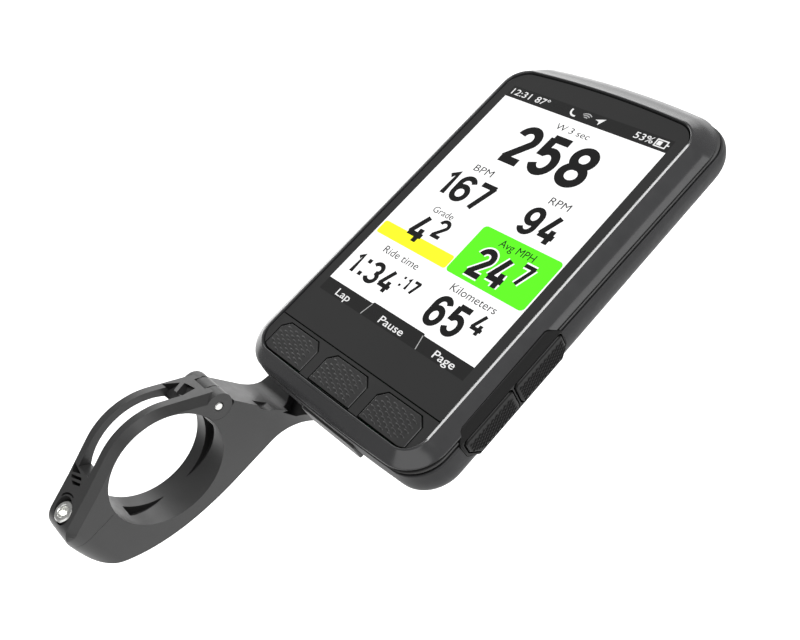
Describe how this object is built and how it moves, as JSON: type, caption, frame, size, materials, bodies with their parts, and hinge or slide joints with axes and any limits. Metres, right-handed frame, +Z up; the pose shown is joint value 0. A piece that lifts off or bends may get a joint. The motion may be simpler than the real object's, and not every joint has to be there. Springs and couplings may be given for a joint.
{
  "type": "cycling computer on an out-front mount",
  "caption": "Touch-screen cycling computer with front and side keys, twist-locked onto an offset out-front mount with a hinged handlebar clamp.",
  "frame": {"origin": "on the handlebar axis, in the middle of the clamp along the bar", "axes": "+X along the handlebar to the rider's right, +Y forward along the bicycle, +Z up out of the screen"},
  "size_m": [0.0728, 0.1845, 0.0392],
  "materials": {
    "case_black": "moulded black plastic with a very fine spark texture",
    "mount_black": "glass-filled black nylon, satin, very fine texture",
    "bezel_black": "satin black plastic with a soft sheen",
    "glass_black": "black-backed cover glass, smooth",
    "key_black": "matt rubber with rows of small raised dashes",
    "gasket_black": "matt sealing rubber",
    "display_white": "lit transflective display under glass",
    "steel": "stainless steel",
    "brass": "turned brass",
    "board_green": "solder mask on glass laminate",
    "cell_silver": "laminated foil pouch",
    "ceramic": "fired ceramic"
  },
  "bodies": {
    "arm": {"mount_arm": "mount_black", "twist_socket": "mount_black", "socket_screw_1": "steel", "socket_screw_2": "steel", "threaded_insert": "brass"},
    "strap": {"clamp_strap": "mount_black", "hinge_pin": "steel"},
    "washer": {"bolt_washer": "steel"},
    "bolt": {"clamp_bolt": "steel"},
    "computer": {"front_bezel": "bezel_black", "cover_glass": "glass_black", "button_strip": "glass_black", "case_gasket": "gasket_black", "back_case": "case_black", "side_button_surround": "key_black", "display_panel": "display_white", "mid_frame": "case_black", "main_board": "board_green", "shield_can": "steel", "battery": "cell_silver", "gnss_antenna": "ceramic", "buzzer": "case_black", "pressure_sensor": "steel", "vent_cap": "gasket_black", "usb_connector": "steel", "twist_boss": "case_black", "boss_screw_1": "steel", "boss_screw_2": "steel", "case_screw_1": "steel", "case_screw_2": "steel", "case_screw_3": "steel", "case_screw_4": "steel", "front_switch_left": "steel", "front_switch_centre": "steel", "front_switch_right": "steel", "side_switch_lower": "steel", "side_switch_upper": "steel", "power_switch": "steel"},
    "front_button_left": {"front_button_left": "key_black"},
    "front_button_centre": {"front_button_centre": "key_black"},
    "front_button_right": {"front_button_right": "key_black"},
    "side_button_lower": {"side_button_lower": "key_black"},
    "side_button_upper": {"side_button_upper": "key_black"},
    "power_button": {"power_button": "key_black"},
    "port_cover": {"port_cover": "gasket_black"}
  },
  "joints": [
    {"name": "strap_swing", "type": "hinge", "parent": "arm", "child": "strap", "pos_m": [0, 0.0197, 0.0026], "axis": [-1, 0, 0], "range_deg": [0, 95]},
    {"name": "screw_lift", "type": "slide", "parent": "strap", "child": "washer", "axis": [0, 0, 1], "range_m": [0, 0.0065]},
    {"name": "screw_turn", "type": "hinge", "parent": "washer", "child": "bolt", "pos_m": [0, -0.0233, 0.005], "axis": [0, 0, 1], "range_deg": [0, 4680]},
    {"name": "computer_twist", "type": "hinge", "parent": "arm", "child": "computer", "pos_m": [0.0305, 0.07, -0.015], "axis": [0, 0, 1], "range_deg": [0, 90]},
    {"name": "left_press", "type": "slide", "parent": "computer", "child": "front_button_left", "axis": [0, 0, -1], "range_m": [0, 0.0005], "stiffness_N_per_m": 3000, "springref_m": -0.0001},
    {"name": "centre_press", "type": "slide", "parent": "computer", "child": "front_button_centre", "axis": [0, 0, -1], "range_m": [0, 0.0005], "stiffness_N_per_m": 3000, "springref_m": -0.0001},
    {"name": "right_press", "type": "slide", "parent": "computer", "child": "front_button_right", "axis": [0, 0, -1], "range_m": [0, 0.0005], "stiffness_N_per_m": 3000, "springref_m": -0.0001},
    {"name": "side_lower_press", "type": "slide", "parent": "computer", "child": "side_button_lower", "axis": [-1, 0, 0], "range_m": [0, 0.0004], "stiffness_N_per_m": 3000, "springref_m": -0.0001},
    {"name": "side_upper_press", "type": "slide", "parent": "computer", "child": "side_button_upper", "axis": [-1, 0, 0], "range_m": [0, 0.0004], "stiffness_N_per_m": 3000, "springref_m": -0.0001},
    {"name": "power_press", "type": "slide", "parent": "computer", "child": "power_button", "axis": [1, 0, 0], "range_m": [0, 0.0004], "stiffness_N_per_m": 3000, "springref_m": -0.0001},
    {"name": "port_cover_swing", "type": "hinge", "parent": "computer", "child": "port_cover", "pos_m": [0.0305, 0.0334, -0.0106], "axis": [1, 0, 0], "range_deg": [0, 95]}
  ],
  "couplings": [
    {"joint": "screw_turn", "follows": "screw_lift", "rad_per_m": 12566}
  ]
}
